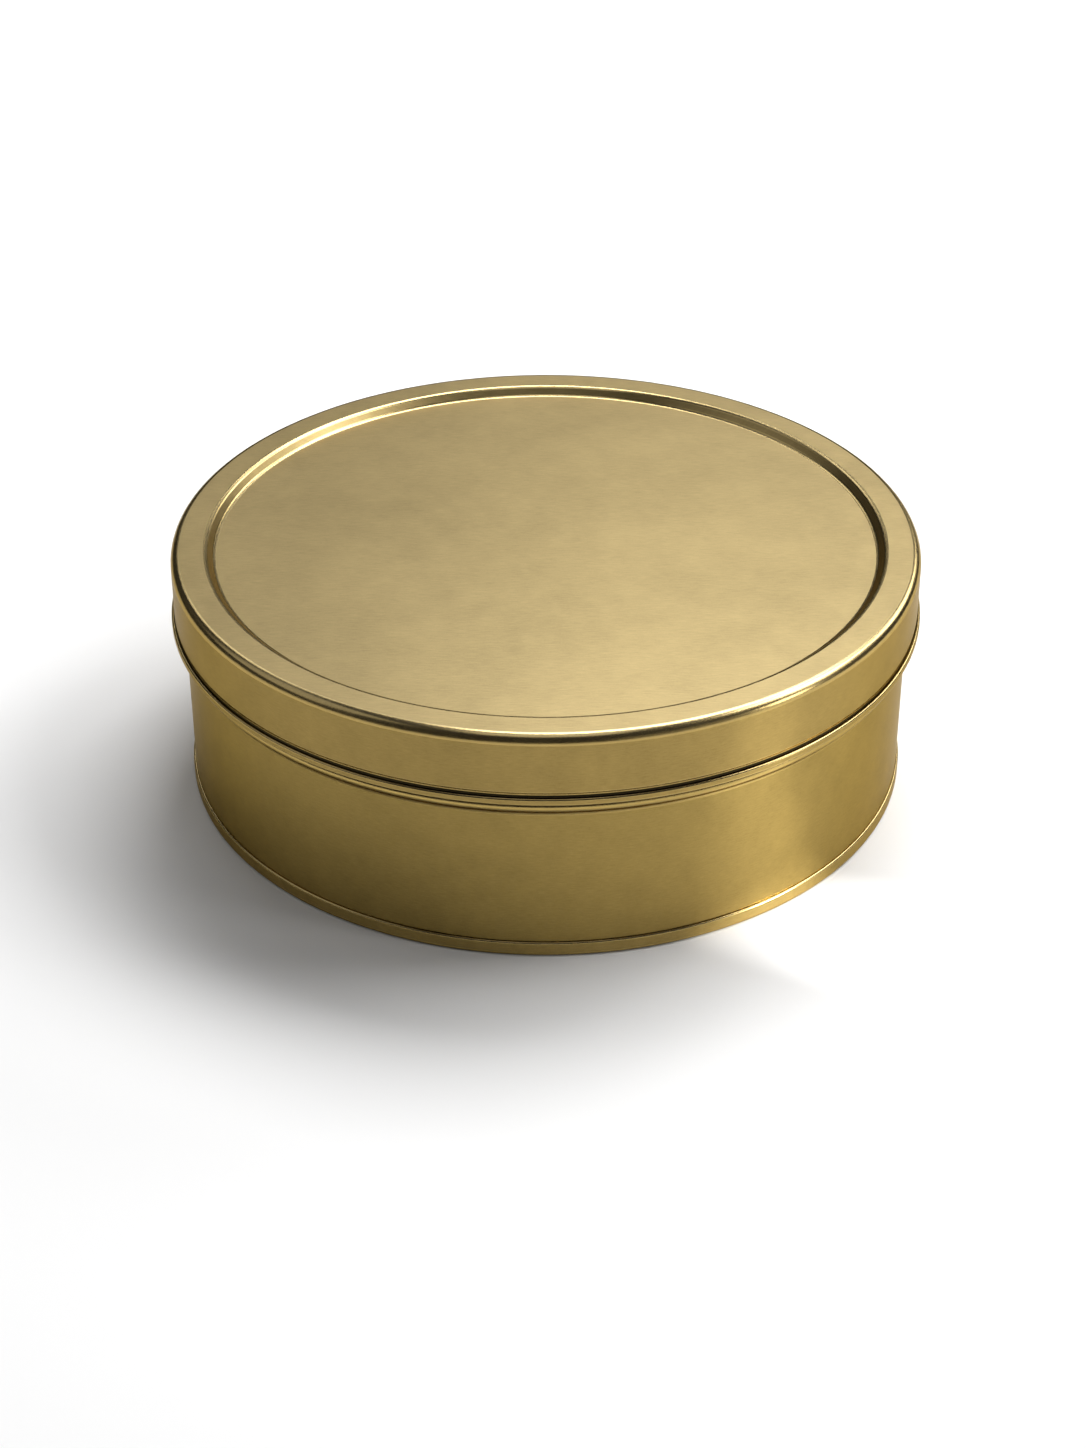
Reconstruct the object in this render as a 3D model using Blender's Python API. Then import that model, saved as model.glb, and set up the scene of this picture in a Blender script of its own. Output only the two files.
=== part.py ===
"""A round slip-lid cookie tin made of three pieces of tinplate: a lid, a body wall and a base end.

Metres, +Z up. The origin is at the centre of the foot, where the tin stands. Each piece is drawn as
the middle line of its bent sheet, from one edge of the metal to the other, in the plane of radius and
height. The line is given its thickness and turned about the Z axis.
"""

import math

import bmesh
import bpy
from mathutils import Vector

MM = 0.001

# Overall sizes
LID_DIAMETER = 190.5 * MM  # across the outside of the skirt
TIN_HEIGHT = 63.5 * MM  # foot to the lid's flat ring
LID_DEPTH = 18.4 * MM  # flat ring to the bottom of the hem
SHEET = 0.28 * MM  # thickness of the tinplate

# Lid
LID_CORNER = 2.3 * MM  # outer radius between flat ring and skirt
RING_WIDTH = 8.3 * MM  # outside of the skirt to the top of the step
RECESS_DEPTH = 2.2 * MM  # flat ring down to the centre panel
STEP_ANGLE = 50.0  # steepest slope of the step, in degrees
STEP_BEND = 1.4 * MM  # radius of the step's two bends
HEM_HEIGHT = 1.9 * MM
HEM_STANDOUT = 0.8 * MM  # hem beyond the skirt
HEM_LIP_ANGLE = 110.0  # how far the hem's edge turns back in, in degrees
HEM_EDGE_GAP = 0.19 * MM  # hem's edge to the skirt

# Body wall
RIM_CURL = 2.1 * MM  # outer diameter of the curl at the top rim
RIM_CURL_ANGLE = 290.0  # how far the rim is rolled round, in degrees
BEAD_BELOW_HEM = 1.7 * MM  # bottom of the lid's hem down to the bead's crest
BEAD_STANDOUT = 1.8 * MM  # bead beyond the wall
BEAD_ANGLE = 60.0  # steepest slope of the bead, in degrees
BEAD_CREST_BEND = 1.4 * MM

# Base end and bottom seam
PANEL_HEIGHT = 3.2 * MM  # underside of the base panel above the table
PANEL_BEND = 0.8 * MM  # radius from the panel down into the seam
CHIME_HEIGHT = 3.5 * MM
CHIME_STANDOUT = 0.6 * MM  # chime beyond the wall
CHIME_CORNER = 0.8 * MM  # outer radius at the foot
CHIME_INNER_BEND = 0.5 * MM  # radius inside the foot

# Clearances
SLIP_GAP = 0.35 * MM  # rim curl inside the skirt, on the radius
SEAT_GAP = 0.50 * MM  # rim curl below the height where it would touch the lid
SEAM_GAP = 0.30 * MM  # between the layers of the bottom seam

# Smoothness
TURNED_SIDES = 48  # sides of each turned piece
BEND_STEP = 30.0  # longest turn between two points of a bend, in degrees
SHARP_EDGE = 40.0  # edges above this angle are shaded sharp, in degrees
MERGE = 1e-7

# What follows from them
LID_RADIUS = LID_DIAMETER / 2
SKIRT_INNER_RADIUS = LID_RADIUS - SHEET
RIM_OUTER_RADIUS = SKIRT_INNER_RADIUS - SLIP_GAP
WALL_MIDDLE_RADIUS = RIM_OUTER_RADIUS - RIM_CURL + SHEET / 2
WALL_OUTER_RADIUS = WALL_MIDDLE_RADIUS + SHEET / 2
HEM_BOTTOM_HEIGHT = TIN_HEIGHT - LID_DEPTH
BEAD_CREST_HEIGHT = HEM_BOTTOM_HEIGHT - BEAD_BELOW_HEM
SEAM_LAYER = SHEET + SEAM_GAP  # one layer of the bottom seam to the next
CHIME_MIDDLE_RADIUS = WALL_OUTER_RADIUS + CHIME_STANDOUT - SHEET / 2


class SheetLine:
    """The middle line of a bent sheet, drawn as straight runs and bends that follow on smoothly.

    The heading is in degrees: 0 is outward, 90 up, 180 inward and 270 down. A positive bend turns left.
    """

    def __init__(self, radius, height, heading):
        self.place = Vector((radius, height))
        self.heading = math.radians(heading)
        self.points = []
        self.left_normals = []
        self.keep_point()

    def forward(self):
        return Vector((math.cos(self.heading), math.sin(self.heading)))

    def left(self):
        return Vector((-math.sin(self.heading), math.cos(self.heading)))

    def keep_point(self):
        self.points.append(self.place.copy())
        self.left_normals.append(self.left())

    def run(self, length):
        self.place = self.place + self.forward() * length
        self.keep_point()

    def run_to_radius(self, radius):
        self.run((radius - self.place.x) / math.cos(self.heading))

    def run_to_height(self, height):
        self.run((height - self.place.y) / math.sin(self.heading))

    def bend(self, radius, degrees):
        steps = math.ceil(abs(degrees) / BEND_STEP)
        turn = math.radians(degrees)
        side = math.copysign(radius, turn)
        centre = self.place + self.left() * side
        for _ in range(steps):
            self.heading += turn / steps
            self.place = centre - self.left() * side
            self.keep_point()

    def outline(self):
        """Both faces of the sheet, as one list of points that runs out along one and back along the other."""
        half = SHEET / 2
        pairs = list(zip(self.points, self.left_normals))
        left_face = [point + normal * half for point, normal in pairs]
        right_face = [point - normal * half for point, normal in pairs]
        return left_face + right_face[::-1]


def bend_rise(radius, degrees):
    """How far a bend carries the sheet sideways while it turns from straight to the given angle."""
    return radius * (1 - math.cos(math.radians(degrees)))


def step_width():
    """Radial width of the lid's step, from the flat ring to the flat of the centre panel."""
    slope = math.radians(STEP_ANGLE)
    sloped_drop = RECESS_DEPTH - 2 * bend_rise(STEP_BEND, STEP_ANGLE)
    return 2 * STEP_BEND * math.sin(slope) + sloped_drop / math.tan(slope)


def rim_curl_centre_height():
    """Height of the rim curl's centre, under the lid's rounded corner or its flat ring."""
    corner = LID_CORNER - SHEET
    corner_centre_height = TIN_HEIGHT - SHEET - corner
    room = corner - RIM_CURL / 2
    outward = max(room - SLIP_GAP, 0)
    lift = math.copysign(math.sqrt(room**2 - outward**2), room)
    return corner_centre_height + lift - SEAT_GAP


def lid_line():
    """Panel centre to the edge of the hem. Heights are measured from the flat ring."""
    ring = -SHEET / 2
    line = SheetLine(0.0, ring - RECESS_DEPTH, 0)
    line.run_to_radius(LID_RADIUS - RING_WIDTH - step_width())
    line.bend(STEP_BEND, STEP_ANGLE)
    line.run_to_height(ring - bend_rise(STEP_BEND, STEP_ANGLE))
    line.bend(STEP_BEND, -STEP_ANGLE)
    line.run_to_radius(LID_RADIUS - LID_CORNER)
    line.bend(LID_CORNER - SHEET / 2, -90)

    hem_bend = HEM_STANDOUT / 2
    hem_foot = -LID_DEPTH + SHEET / 2
    line.run_to_height(hem_foot + hem_bend)
    line.bend(hem_bend, 180)
    lip_bend = (HEM_STANDOUT - SHEET / 2 - HEM_EDGE_GAP) / bend_rise(1, HEM_LIP_ANGLE)
    line.run_to_height(hem_foot + HEM_HEIGHT - SHEET - lip_bend)
    line.bend(lip_bend, HEM_LIP_ANGLE)
    return line


def body_wall_line():
    """Edge of the seam hook at the foot to the edge of the curl at the rim."""
    neck = CHIME_MIDDLE_RADIUS - 3 * SEAM_LAYER
    hook = CHIME_MIDDLE_RADIUS - SEAM_LAYER
    line = SheetLine(hook, CHIME_HEIGHT - SEAM_LAYER, 270)
    line.run_to_height(SHEET / 2 + 2 * SEAM_LAYER)
    line.bend(SEAM_LAYER, -180)

    shoulder_bend = (WALL_MIDDLE_RADIUS - neck) / 2
    line.run_to_height(CHIME_HEIGHT + SEAM_GAP + SHEET / 2 - shoulder_bend)
    line.bend(shoulder_bend, -90)
    line.bend(shoulder_bend, 90)

    root_bend = BEAD_STANDOUT / bend_rise(1, BEAD_ANGLE) - BEAD_CREST_BEND
    half_bead = (root_bend + BEAD_CREST_BEND) * math.sin(math.radians(BEAD_ANGLE))
    line.run_to_height(BEAD_CREST_HEIGHT - half_bead)
    line.bend(root_bend, -BEAD_ANGLE)
    line.bend(BEAD_CREST_BEND, 2 * BEAD_ANGLE)
    line.bend(root_bend, -BEAD_ANGLE)

    line.run_to_height(rim_curl_centre_height())
    line.bend((RIM_CURL - SHEET) / 2, -RIM_CURL_ANGLE)
    return line


def base_end_line():
    """Panel centre to the edge of the seam hook, which reaches down inside the hook of the wall."""
    chuck_wall = CHIME_MIDDLE_RADIUS - 4 * SEAM_LAYER
    foot = SHEET / 2
    line = SheetLine(0.0, PANEL_HEIGHT + SHEET / 2, 0)
    line.run_to_radius(chuck_wall - PANEL_BEND)
    line.bend(PANEL_BEND, -90)
    line.run_to_height(foot + CHIME_INNER_BEND)
    line.bend(CHIME_INNER_BEND, 90)
    corner = CHIME_CORNER - SHEET / 2
    line.run_to_radius(CHIME_MIDDLE_RADIUS - corner)
    line.bend(corner, 90)
    line.run_to_height(CHIME_HEIGHT - SHEET / 2 - SEAM_LAYER)
    line.bend(SEAM_LAYER, 180)
    line.run_to_height(2 * SEAM_LAYER)
    return line


def turned_mesh(name, line):
    """A closed mesh: the sheet's outline turned a full circle about Z."""
    outline = line.outline()
    starts_on_axis = outline[0].x < MERGE
    mesh = bpy.data.meshes.new(name)
    shape = bmesh.new()
    corners = [shape.verts.new((point.x, 0.0, point.y)) for point in outline]
    edges = [shape.edges.new(pair) for pair in zip(corners, corners[1:])]
    if not starts_on_axis:
        edges.append(shape.edges.new((corners[-1], corners[0])))
    bmesh.ops.spin(
        shape,
        geom=corners + edges,
        cent=(0.0, 0.0, 0.0),
        axis=(0.0, 0.0, 1.0),
        angle=math.tau,
        steps=TURNED_SIDES,
        use_merge=True,
    )
    bmesh.ops.remove_doubles(shape, verts=shape.verts, dist=MERGE)
    bmesh.ops.recalc_face_normals(shape, faces=shape.faces)
    shape.to_mesh(mesh)
    shape.free()
    mesh.shade_smooth()
    mesh.set_sharp_from_angle(angle=math.radians(SHARP_EDGE))
    return mesh


def gold_lacquer(name, colour, roughness):
    material = bpy.data.materials.new(name)
    material.use_nodes = True
    shader = material.node_tree.nodes["Principled BSDF"]
    shader.inputs["Base Color"].default_value = (*colour, 1.0)
    shader.inputs["Metallic"].default_value = 1.0
    shader.inputs["Roughness"].default_value = roughness
    return material


def add_piece(name, line, colour, roughness, height=0.0):
    mesh = turned_mesh(name, line)
    mesh.materials.append(gold_lacquer(name + "_lacquer", colour, roughness))
    piece = bpy.data.objects.new(name, mesh)
    piece.location.z = height
    bpy.context.scene.collection.objects.link(piece)
    return piece


def clear_scene():
    for thing in list(bpy.data.objects):
        bpy.data.objects.remove(thing, do_unlink=True)


def main():
    clear_scene()
    # The lid's origin is at the centre of its flat ring, on the axis it lifts along.
    add_piece("lid", lid_line(), (0.60, 0.49, 0.26), 0.32, height=TIN_HEIGHT)
    add_piece("body_wall", body_wall_line(), (0.52, 0.41, 0.20), 0.34)
    add_piece("base_end", base_end_line(), (0.50, 0.40, 0.20), 0.36)


main()
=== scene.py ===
"""Looks of a round slip-lid cookie tin: fine sheet-metal meshes, gold lacquer, and a pale studio.

Each of the three pieces of tinplate is drawn again from the middle line of its bent sheet, in the plane
of radius and height, with fine bends and many sides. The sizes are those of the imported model, apart
from the bottom seam, which is tighter and a little taller here, and a shallow groove above the hem.
Metres, +Z up.
"""

import math

import bpy
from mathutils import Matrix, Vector


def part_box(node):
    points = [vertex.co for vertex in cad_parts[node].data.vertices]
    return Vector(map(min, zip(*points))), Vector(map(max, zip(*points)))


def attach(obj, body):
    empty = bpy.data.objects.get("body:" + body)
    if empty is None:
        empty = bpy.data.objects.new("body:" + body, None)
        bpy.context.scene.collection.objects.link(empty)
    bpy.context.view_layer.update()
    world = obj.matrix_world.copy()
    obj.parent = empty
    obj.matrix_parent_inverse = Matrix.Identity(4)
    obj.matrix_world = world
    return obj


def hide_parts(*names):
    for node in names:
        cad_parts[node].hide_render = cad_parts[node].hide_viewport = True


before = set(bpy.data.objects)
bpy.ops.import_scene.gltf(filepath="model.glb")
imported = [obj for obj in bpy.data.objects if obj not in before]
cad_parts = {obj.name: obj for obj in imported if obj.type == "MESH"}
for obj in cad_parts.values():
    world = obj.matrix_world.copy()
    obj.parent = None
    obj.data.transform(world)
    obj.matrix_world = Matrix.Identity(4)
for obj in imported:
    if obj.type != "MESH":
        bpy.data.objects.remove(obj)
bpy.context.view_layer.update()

MM = 0.001

# Sizes of the bent sheet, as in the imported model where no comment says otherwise
SHEET = 0.28 * MM
LID_CORNER = 2.3 * MM
RING_WIDTH = 8.3 * MM
RECESS_DEPTH = 2.2 * MM
STEP_ANGLE = 50.0
STEP_BEND = 1.4 * MM
HEM_HEIGHT = 1.9 * MM
HEM_STANDOUT = 0.8 * MM
HEM_LIP_ANGLE = 110.0
HEM_EDGE_GAP = 0.19 * MM
RIM_CURL = 2.1 * MM
RIM_CURL_ANGLE = 290.0
BEAD_BELOW_HEM = 1.7 * MM
BEAD_STANDOUT = 1.8 * MM
BEAD_ANGLE = 60.0
BEAD_CREST_BEND = 1.4 * MM
PANEL_HEIGHT = 3.2 * MM
PANEL_BEND = 0.8 * MM
CHIME_HEIGHT = 3.9 * MM  # 3.5 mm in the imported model, whose wider crease ends above this height
CHIME_STANDOUT = 0.6 * MM
CHIME_CORNER = 0.9 * MM  # 0.8 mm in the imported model
CHIME_INNER_BEND = 0.5 * MM
SLIP_GAP = 0.35 * MM
SEAT_GAP = 0.50 * MM
SEAM_GAP = 0.05 * MM  # pressed tight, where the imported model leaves 0.30 mm

# Only drawn here: a shallow groove round the skirt, where the hem was rolled
GROOVE_BEND = 1.2 * MM
GROOVE_ANGLE = 21.0

# Overall sizes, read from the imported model
LID_LOW, LID_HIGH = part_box("lid")
TIN_HEIGHT = LID_HIGH.z
LID_DEPTH = LID_HIGH.z - LID_LOW.z
LID_RADIUS = LID_HIGH.x - HEM_STANDOUT

# What follows from them
SKIRT_INNER_RADIUS = LID_RADIUS - SHEET
RIM_OUTER_RADIUS = SKIRT_INNER_RADIUS - SLIP_GAP
WALL_MIDDLE_RADIUS = RIM_OUTER_RADIUS - RIM_CURL + SHEET / 2
WALL_OUTER_RADIUS = WALL_MIDDLE_RADIUS + SHEET / 2
BEAD_CREST_HEIGHT = TIN_HEIGHT - LID_DEPTH - BEAD_BELOW_HEM
SEAM_LAYER = SHEET + SEAM_GAP
CHIME_MIDDLE_RADIUS = WALL_OUTER_RADIUS + CHIME_STANDOUT - SHEET / 2

# Fineness of the meshes
TURNED_SIDES = 288
BEND_STEP = 7.5  # longest turn between two points of a bend, in degrees
RUN_STEP = 8 * MM  # longest stretch between two points of a straight run
RUN_SUPPORT = 0.12 * MM  # a point this far inside each end of a run keeps its shading flat
SHARP_EDGE = 40.0  # edges above this angle are shaded sharp, in degrees
ON_AXIS = 1e-7  # a point nearer to the axis than this lies on it

# The lacquer's colours, richer on the upright walls than on the flats: one gold in lit and shaded copies,
# the paler flats a painted sheen
SKIRT_GOLD = (0.345, 0.242, 0.077)
WALL_GOLD = (0.345, 0.242, 0.072)
# brighter gold on the base end's chime: painted light
CHIME_GOLD_PAINTED_LIGHT = (0.400, 0.285, 0.095)
# paler gold on the upward-facing flats: painted sheen
FLAT_GOLD_PAINTED_SHEEN = (0.292, 0.227, 0.110)
EDGE_TINT = (0.56, 0.50, 0.40)

# The lacquer's finish: brushed metal under a thin clear coat
LACQUER_ROUGHNESS = 0.38
ANISOTROPY = 0.5
COAT_WEIGHT = 0.06
COAT_ROUGHNESS = 0.32
COAT_IOR = 1.5
BUMP_STRENGTH = 0.07
BUMP_DEPTH = 0.05 * MM
SAND_RELIEF = 0.8  # beside the grain's 1

# Blotches of the finish: the grain's length and width, and the size of the others
FLAT_GRAIN = (3.2 * MM, 0.3 * MM)
ROUND_GRAIN = (2.4 * MM, 0.28 * MM)
SAND = 0.45 * MM
CLOUDS = 24 * MM
PATCHES = 7 * MM

# How far each of them changes the brightness of the gold, and its roughness
CLOUD_TONE = 0.07
PATCH_TONE = 0.06
GRAIN_TONE = 0.12
SAND_TONE = 0.05
# every bend painted brighter: painted highlight
BEND_PAINTED_HIGHLIGHT = 0.3
FOLD_PAINTED_SHADE = -0.93  # painted shade: darkens the inside of the hem's fold and the groove just above it, where the crease looks black
CLOUD_ROUGHNESS = 0.004
GRAIN_ROUGHNESS = 0.006
BEND_ROUGHNESS = -0.15

# Studio
FLOOR_SIZE = 2.4
FLOOR_WHITE = 0.86
FLOOR_ROUGHNESS = 0.9
SOFTBOX_DISTANCE = 1.5
BEAM_DISTANCE = 1.2
WORLD_GLOW = 0.055

# Camera
CAMERA_DISTANCE = 0.695  # from the centre of the lid's flat ring
CAMERA_ELEVATION = 28.78
CAMERA_PITCH = 32.78  # below the horizon
CAMERA_LENS = 67.62
CAMERA_SHIFT = -0.002


class SheetLine:
    """The middle line of a bent sheet, drawn as straight runs and bends that follow on smoothly.

    The heading is in degrees: 0 is outward, 90 up, 180 inward and 270 down. A positive bend turns left.
    """

    def __init__(self, radius, height, heading):
        self.place = Vector((radius, height))
        self.heading = math.radians(heading)
        self.points = []
        self.left_normals = []
        self.bent = []
        self.fold_shades = []
        self.fold_shade = 0.0  # set to 1 where the left face gets painted shade: inside the hem's fold and the groove's lower half above it
        self.keep_point(0.0)

    def forward(self):
        return Vector((math.cos(self.heading), math.sin(self.heading)))

    def left(self):
        return Vector((-math.sin(self.heading), math.cos(self.heading)))

    def keep_point(self, bent):
        self.points.append(self.place.copy())
        self.left_normals.append(self.left())
        self.bent.append(bent)
        self.fold_shades.append(self.fold_shade)

    def run(self, length):
        start = self.place.copy()
        stops = [length]
        if length > 3 * RUN_SUPPORT:
            inner = length - 2 * RUN_SUPPORT
            spans = math.ceil(inner / RUN_STEP)
            stops = [RUN_SUPPORT + inner * i / spans for i in range(spans + 1)] + [length]
        for stop in stops:
            self.place = start + self.forward() * stop
            self.keep_point(0.0)

    def run_to_radius(self, radius):
        self.run((radius - self.place.x) / math.cos(self.heading))

    def run_to_height(self, height):
        self.run((height - self.place.y) / math.sin(self.heading))

    def bend(self, radius, degrees):
        steps = math.ceil(abs(degrees) / BEND_STEP)
        turn = math.radians(degrees)
        side = math.copysign(radius, turn)
        centre = self.place + self.left() * side
        for _ in range(steps):
            self.heading += turn / steps
            self.place = centre - self.left() * side
            self.keep_point(1.0)

    def outline(self):
        """Both faces as (place, how bent, how much painted shade): out along one face, back along the
        other.
        """
        half = SHEET / 2
        rows = list(zip(self.points, self.left_normals, self.bent, self.fold_shades))
        left_face = [(point + normal * half, bent, fold_shade) for point, normal, bent, fold_shade in rows]
        right_face = [(point - normal * half, bent, 0.0) for point, normal, bent, _ in rows]
        return left_face + right_face[::-1]


def bend_rise(radius, degrees):
    """How far a bend carries the sheet sideways while it turns from straight to the given angle."""
    return radius * (1 - math.cos(math.radians(degrees)))


def step_width():
    """Radial width of the lid's step, from the flat ring to the flat of the centre panel."""
    slope = math.radians(STEP_ANGLE)
    sloped_drop = RECESS_DEPTH - 2 * bend_rise(STEP_BEND, STEP_ANGLE)
    return 2 * STEP_BEND * math.sin(slope) + sloped_drop / math.tan(slope)


def rim_curl_centre_height():
    """Height of the rim curl's centre, under the lid's rounded corner."""
    corner = LID_CORNER - SHEET
    room = corner - RIM_CURL / 2
    lift = math.sqrt(room**2 - (room - SLIP_GAP) ** 2)
    return TIN_HEIGHT - SHEET - corner + lift - SEAT_GAP


def lid_line():
    """Panel centre to the edge of the hem."""
    ring = TIN_HEIGHT - SHEET / 2
    line = SheetLine(0.0, ring - RECESS_DEPTH, 0)
    line.run_to_radius(LID_RADIUS - RING_WIDTH - step_width())
    line.bend(STEP_BEND, STEP_ANGLE)
    line.run_to_height(ring - bend_rise(STEP_BEND, STEP_ANGLE))
    line.bend(STEP_BEND, -STEP_ANGLE)
    line.run_to_radius(LID_RADIUS - LID_CORNER)
    line.bend(LID_CORNER - SHEET / 2, -90)

    hem_bend = HEM_STANDOUT / 2
    hem_foot = TIN_HEIGHT - LID_DEPTH + SHEET / 2
    groove_height = 4 * GROOVE_BEND * math.sin(math.radians(GROOVE_ANGLE))
    line.run_to_height(hem_foot + HEM_HEIGHT - SHEET + groove_height)
    line.bend(GROOVE_BEND, -GROOVE_ANGLE)
    line.bend(GROOVE_BEND, GROOVE_ANGLE)
    # painted shade from here on along the left face, into the inside of the hem's fold
    line.fold_shade = 1.0
    line.bend(GROOVE_BEND, GROOVE_ANGLE)
    line.bend(GROOVE_BEND, -GROOVE_ANGLE)
    line.run_to_height(hem_foot + hem_bend)
    line.bend(hem_bend, 180)
    lip_bend = (HEM_STANDOUT - SHEET / 2 - HEM_EDGE_GAP) / bend_rise(1, HEM_LIP_ANGLE)
    line.run_to_height(hem_foot + HEM_HEIGHT - SHEET - lip_bend)
    line.bend(lip_bend, HEM_LIP_ANGLE)
    return line


def body_wall_line():
    """Edge of the seam hook at the foot to the edge of the curl at the rim."""
    neck = CHIME_MIDDLE_RADIUS - 3 * SEAM_LAYER
    hook = CHIME_MIDDLE_RADIUS - SEAM_LAYER
    line = SheetLine(hook, CHIME_HEIGHT - SHEET - SEAM_LAYER, 270)
    line.run_to_height(SHEET / 2 + 2 * SEAM_LAYER)
    line.bend(SEAM_LAYER, -180)

    shoulder_bend = (WALL_MIDDLE_RADIUS - neck) / 2
    line.run_to_height(CHIME_HEIGHT - shoulder_bend)
    line.bend(shoulder_bend, -90)
    line.bend(shoulder_bend, 90)

    root_bend = BEAD_STANDOUT / bend_rise(1, BEAD_ANGLE) - BEAD_CREST_BEND
    half_bead = (root_bend + BEAD_CREST_BEND) * math.sin(math.radians(BEAD_ANGLE))
    line.run_to_height(BEAD_CREST_HEIGHT - half_bead)
    line.bend(root_bend, -BEAD_ANGLE)
    line.bend(BEAD_CREST_BEND, 2 * BEAD_ANGLE)
    line.bend(root_bend, -BEAD_ANGLE)

    line.run_to_height(rim_curl_centre_height())
    line.bend((RIM_CURL - SHEET) / 2, -RIM_CURL_ANGLE)
    return line


def base_end_line():
    """Panel centre to the edge of the seam hook, which reaches down inside the hook of the wall."""
    chuck_wall = CHIME_MIDDLE_RADIUS - 4 * SEAM_LAYER
    foot = SHEET / 2
    line = SheetLine(0.0, PANEL_HEIGHT + SHEET / 2, 0)
    line.run_to_radius(chuck_wall - PANEL_BEND)
    line.bend(PANEL_BEND, -90)
    line.run_to_height(foot + CHIME_INNER_BEND)
    line.bend(CHIME_INNER_BEND, 90)
    corner = CHIME_CORNER - SHEET / 2
    line.run_to_radius(CHIME_MIDDLE_RADIUS - corner)
    line.bend(corner, 90)
    line.run_to_height(CHIME_HEIGHT - SHEET / 2 - SEAM_LAYER)
    line.bend(SEAM_LAYER, 180)
    line.run_to_height(2 * SEAM_LAYER + SHEET)
    return line


def turned_mesh(name, line):
    """A closed mesh: the sheet's outline turned a full circle about Z, with its bent shares and its shares
    of painted shade.
    """
    outline = line.outline()
    starts_on_axis = outline[0][0].x < ON_AXIS
    ring = outline[1:-1] if starts_on_axis else outline
    turns = [math.tau * side / TURNED_SIDES for side in range(TURNED_SIDES)]
    places = [(p.x * math.cos(t), p.x * math.sin(t), p.y) for t in turns for p, _, _ in ring]
    bent = [share for _, share, _ in ring] * TURNED_SIDES
    fold_shades = [share for _, _, share in ring] * TURNED_SIDES
    faces = []
    for side in range(TURNED_SIDES):
        here = side * len(ring)
        there = (side + 1) % TURNED_SIDES * len(ring)
        faces += [(here + i, here + i + 1, there + i + 1, there + i) for i in range(len(ring) - 1)]
        if starts_on_axis:
            top = TURNED_SIDES * len(ring)
            faces.append((top, here, there))
            faces.append((here + len(ring) - 1, top + 1, there + len(ring) - 1))
        else:
            faces.append((here + len(ring) - 1, here, there, there + len(ring) - 1))
    if starts_on_axis:
        places += [(0.0, 0.0, outline[0][0].y), (0.0, 0.0, outline[-1][0].y)]
        bent += [0.0, 0.0]
        fold_shades += [0.0, 0.0]
    mesh = bpy.data.meshes.new(name)
    mesh.from_pydata(places, [], faces)
    mesh.attributes.new("bent", "FLOAT", "POINT").data.foreach_set("value", bent)
    mesh.attributes.new("fold_shades", "FLOAT", "POINT").data.foreach_set("value", fold_shades)
    mesh.shade_smooth()
    mesh.set_sharp_from_angle(angle=math.radians(SHARP_EDGE))
    return mesh


class NodeMaker:
    """Adds and links the nodes of one material, so that a material reads from top to bottom."""

    def __init__(self, tree):
        self.tree = tree

    def node(self, kind, settings=None, **inputs):
        made = self.tree.nodes.new("ShaderNode" + kind)
        for name, value in (settings or {}).items():
            setattr(made, name, value)
        for name, value in inputs.items():
            self.feed(made.inputs[name.replace("_", " ")], value)
        return made

    def feed(self, socket, value):
        if isinstance(value, bpy.types.NodeSocket):
            self.tree.links.new(value, socket)
        else:
            socket.default_value = value

    def feed_in_order(self, sockets, values):
        for socket, value in zip(sockets, values):
            self.feed(socket, value)

    def math(self, operation, *values):
        made = self.node("Math", {"operation": operation})
        self.feed_in_order(made.inputs, values)
        return made.outputs[0]

    def mix(self, data_type, factor, first, second):
        """The first value where the factor is 0 and the second where it is 1."""
        made = self.node("Mix", {"data_type": data_type})
        used = [socket for socket in made.inputs if socket.enabled]
        self.feed_in_order(used, (factor, first, second))
        return next(socket for socket in made.outputs if socket.enabled)

    def attribute(self, name):
        return self.node("Attribute", {"attribute_name": name}).outputs["Fac"]

    def noise(self, vector, size, detail=2.0, roughness=0.5):
        """Noise from about -1 to 1 whose blotches are of the given size along X, Y and Z."""
        scale = tuple(1 / length for length in size)
        stretched = self.node("Mapping", Vector=vector, Scale=scale).outputs[0]
        made = self.node("TexNoise", {"normalize": False}, Vector=stretched,
                         Scale=1.0, Detail=detail, Roughness=roughness)
        return made.outputs[0]


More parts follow.
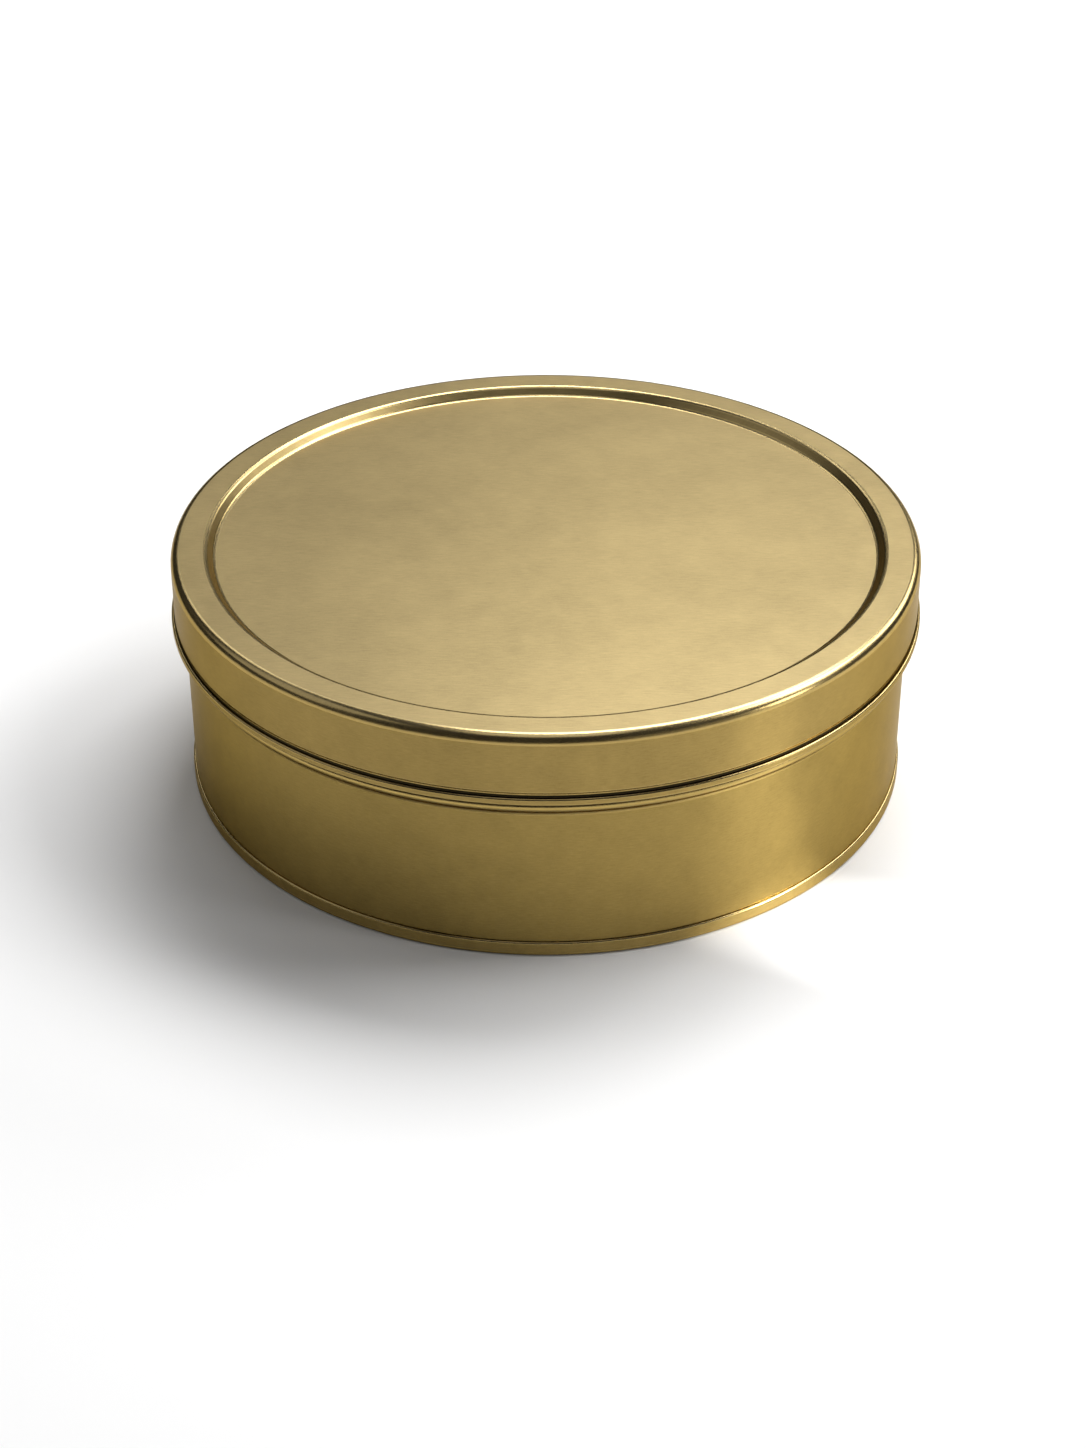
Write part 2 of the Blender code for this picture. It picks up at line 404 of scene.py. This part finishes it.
def gold_lacquer(name, wall_gold):
    """Satin gold lacquer with clouds, patches, sand and a grain that runs sideways or round the tin."""
    material = bpy.data.materials.new(name)
    material.use_nodes = True
    tree = material.node_tree
    shader = tree.nodes["Principled BSDF"]
    make = NodeMaker(tree)

    place = make.node("TexCoord").outputs["Object"]
    x, y, z = make.node("SeparateXYZ", Vector=place).outputs
    around = make.math("MULTIPLY", make.math("ARCTAN2", x, make.math("MULTIPLY", y, -1.0)), LID_RADIUS)
    rolled = make.node("CombineXYZ", X=around, Y=0.0, Z=z).outputs[0]
    normal = make.node("NewGeometry").outputs["Normal"]
    level = make.math("ABSOLUTE", make.node("SeparateXYZ", Vector=normal).outputs["Z"])
    across_grain = make.node("CombineXYZ", X=0.0, Y=level, Z=make.math("SUBTRACT", 1.0, level)).outputs[0]

    grain_length, grain_width = FLAT_GRAIN
    sideways_grain = make.noise(place, (grain_length, grain_width, grain_length), detail=3.0)
    grain_length, grain_width = ROUND_GRAIN
    round_grain = make.noise(rolled, (grain_length, 1.0, grain_width), detail=3.0)
    grain = make.mix("FLOAT", level, round_grain, sideways_grain)
    sand = make.noise(place, (SAND, SAND, SAND))
    clouds = make.noise(place, (CLOUDS, CLOUDS, CLOUDS), detail=3.0, roughness=0.55)
    patches = make.noise(place, (PATCHES, PATCHES, PATCHES), detail=3.0, roughness=0.6)
    bent = make.attribute("bent")
    fold_shades = make.attribute("fold_shades")

    tone = make.math("MULTIPLY_ADD", clouds, CLOUD_TONE, 1.0)
    tone = make.math("MULTIPLY_ADD", patches, PATCH_TONE, tone)
    tone = make.math("MULTIPLY_ADD", grain, GRAIN_TONE, tone)
    tone = make.math("MULTIPLY_ADD", sand, SAND_TONE, tone)
    # painted highlight: the bends are brighter
    tone = make.math("MULTIPLY_ADD", bent, BEND_PAINTED_HIGHLIGHT, tone)
    # painted shade: the inside of the hem's fold is darkened almost to black
    tone = make.math("MULTIPLY", tone, make.math("MULTIPLY_ADD", fold_shades, FOLD_PAINTED_SHADE, 1.0))
    colour = make.node("VectorMath", {"operation": "SCALE"}, Scale=tone)
    # painted sheen: the flats get the paler gold, the upright walls the richer one
    make.feed(colour.inputs[0], make.mix("RGBA", level, (*wall_gold, 1.0), (*FLAT_GOLD_PAINTED_SHEEN, 1.0)))

    rough = make.math("MULTIPLY_ADD", clouds, CLOUD_ROUGHNESS, LACQUER_ROUGHNESS)
    rough = make.math("MULTIPLY_ADD", grain, GRAIN_ROUGHNESS, rough)
    rough = make.math("MULTIPLY_ADD", bent, BEND_ROUGHNESS, rough)

    relief = make.math("ADD", grain, make.math("MULTIPLY", sand, SAND_RELIEF))
    bump = make.node("Bump", Strength=BUMP_STRENGTH, Distance=BUMP_DEPTH, Height=relief)

    shader.inputs["Metallic"].default_value = 1.0
    shader.inputs["Anisotropic"].default_value = ANISOTROPY
    shader.inputs["Specular Tint"].default_value = (*EDGE_TINT, 1.0)
    shader.inputs["Coat Weight"].default_value = COAT_WEIGHT
    shader.inputs["Coat Roughness"].default_value = COAT_ROUGHNESS
    shader.inputs["Coat IOR"].default_value = COAT_IOR
    tree.links.new(colour.outputs[0], shader.inputs["Base Color"])
    tree.links.new(rough, shader.inputs["Roughness"])
    tree.links.new(bump.outputs[0], shader.inputs["Normal"])
    tree.links.new(across_grain, shader.inputs["Tangent"])
    return material


def add_piece(name, line, node, body, material):
    mesh = turned_mesh(name, line)
    mesh.materials.append(material)
    piece = bpy.data.objects.new(name, mesh)
    bpy.context.scene.collection.objects.link(piece)
    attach(piece, body)
    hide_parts(node)


def add_tin():
    lid = gold_lacquer("gold_lacquer_lid", SKIRT_GOLD)
    wall = gold_lacquer("gold_lacquer_wall", WALL_GOLD)
    # the base end is a brighter copy of the gold: painted light on its chime
    base = gold_lacquer("gold_lacquer_base", CHIME_GOLD_PAINTED_LIGHT)
    add_piece("lid_pressing", lid_line(), "lid", "lid", lid)
    add_piece("body_wall_sheet", body_wall_line(), "body_wall", "tin", wall)
    add_piece("base_end_pressing", base_end_line(), "base_end", "tin", base)


def add_floor():
    mesh = bpy.data.meshes.new("floor")
    half = FLOOR_SIZE / 2
    corners = [(-half, -half, 0.0), (half, -half, 0.0), (half, half, 0.0), (-half, half, 0.0)]
    mesh.from_pydata(corners, [], [(0, 1, 2, 3)])
    material = bpy.data.materials.new("floor_white")
    material.use_nodes = True
    shader = material.node_tree.nodes["Principled BSDF"]
    shader.inputs["Base Color"].default_value = (FLOOR_WHITE, FLOOR_WHITE, FLOOR_WHITE, 1.0)
    shader.inputs["Roughness"].default_value = FLOOR_ROUGHNESS
    shader.inputs["Specular IOR Level"].default_value = 0.0
    mesh.materials.append(material)
    floor = bpy.data.objects.new("floor", mesh)
    bpy.context.scene.collection.objects.link(floor)


def place_light(light, target, azimuth, elevation, distance):
    """Stands a light off its target, facing it. Azimuth 0 is behind the tin and 90 to its right."""
    a, e = math.radians(azimuth), math.radians(elevation)
    direction = Vector((math.sin(a) * math.cos(e), math.cos(a) * math.cos(e), math.sin(e)))
    lamp = bpy.data.objects.new(light.name, light)
    lamp.location = target + direction * distance
    lamp.rotation_euler = direction.to_track_quat("Z", "Y").to_euler()
    bpy.context.scene.collection.objects.link(lamp)


def add_softbox(name, azimuth, elevation, width, height, power):
    """A rectangular light that faces the tin."""
    light = bpy.data.lights.new(name, "AREA")
    light.shape = "RECTANGLE"
    light.size = width
    light.size_y = height
    light.energy = power
    place_light(light, Vector((0.0, 0.0, TIN_HEIGHT / 2)), azimuth, elevation, SOFTBOX_DISTANCE)


def add_beam(name, azimuth, elevation, target, width, power):
    """A narrow round beam that faces its target."""
    light = bpy.data.lights.new(name, "SPOT")
    light.spot_size = math.radians(width)
    light.spot_blend = 1.0
    light.energy = power
    place_light(light, target, azimuth, elevation, BEAM_DISTANCE)


def add_lights():
    add_softbox("backdrop", azimuth=18, elevation=57, width=0.8, height=0.7, power=16.5)
    add_softbox("rim", azimuth=45, elevation=30, width=0.62, height=0.36, power=5.5)
    add_softbox("key", azimuth=72, elevation=50, width=0.8, height=0.6, power=12.5)
    add_softbox("key_low", azimuth=85, elevation=38, width=0.5, height=0.5, power=2.0)
    add_softbox("side", azimuth=110, elevation=14, width=0.3, height=0.5, power=3.8)
    add_softbox("front_side", azimuth=140, elevation=12, width=1.1, height=0.5, power=0.4)
    add_softbox("left_rim", azimuth=-22, elevation=40, width=0.5, height=0.4, power=1.8)
    add_softbox("overhead", azimuth=180, elevation=85, width=0.7, height=0.8, power=2.0)
    add_softbox("fill", azimuth=270, elevation=43, width=1.2, height=1.0, power=2.2)
    beside_tin = Vector((0.108, -0.097, 0.0))
    add_beam("beam", azimuth=111, elevation=15, target=beside_tin, width=2.6, power=200.0)


def add_world():
    """A faint even glow that the camera sees as plain white."""
    world = bpy.data.worlds.new("studio")
    world.use_nodes = True
    tree = world.node_tree
    make = NodeMaker(tree)
    background = tree.nodes["Background"]
    background.inputs["Color"].default_value = (1.0, 1.0, 1.0, 1.0)
    background.inputs["Strength"].default_value = WORLD_GLOW
    seen = make.node("Background", Color=(1.0, 1.0, 1.0, 1.0), Strength=1.0)
    camera_ray = make.node("LightPath").outputs["Is Camera Ray"]
    mix = make.node("MixShader")
    make.feed_in_order(mix.inputs, (camera_ray, background.outputs[0], seen.outputs[0]))
    tree.links.new(mix.outputs[0], tree.nodes["World Output"].inputs[0])
    bpy.context.scene.world = world


def add_camera():
    data = bpy.data.cameras.new("camera")
    data.lens = CAMERA_LENS
    data.shift_x = CAMERA_SHIFT
    camera = bpy.data.objects.new("camera", data)
    elevation = math.radians(CAMERA_ELEVATION)
    camera.location = (
        0.0,
        -CAMERA_DISTANCE * math.cos(elevation),
        CAMERA_DISTANCE * math.sin(elevation) + TIN_HEIGHT,
    )
    camera.rotation_euler = (math.radians(90 - CAMERA_PITCH), 0.0, 0.0)
    bpy.context.scene.collection.objects.link(camera)
    bpy.context.scene.camera = camera


add_tin()
add_floor()
add_lights()
add_world()
add_camera()
bpy.context.scene.view_settings.view_transform = "Standard"

bpy.context.view_layer.update()
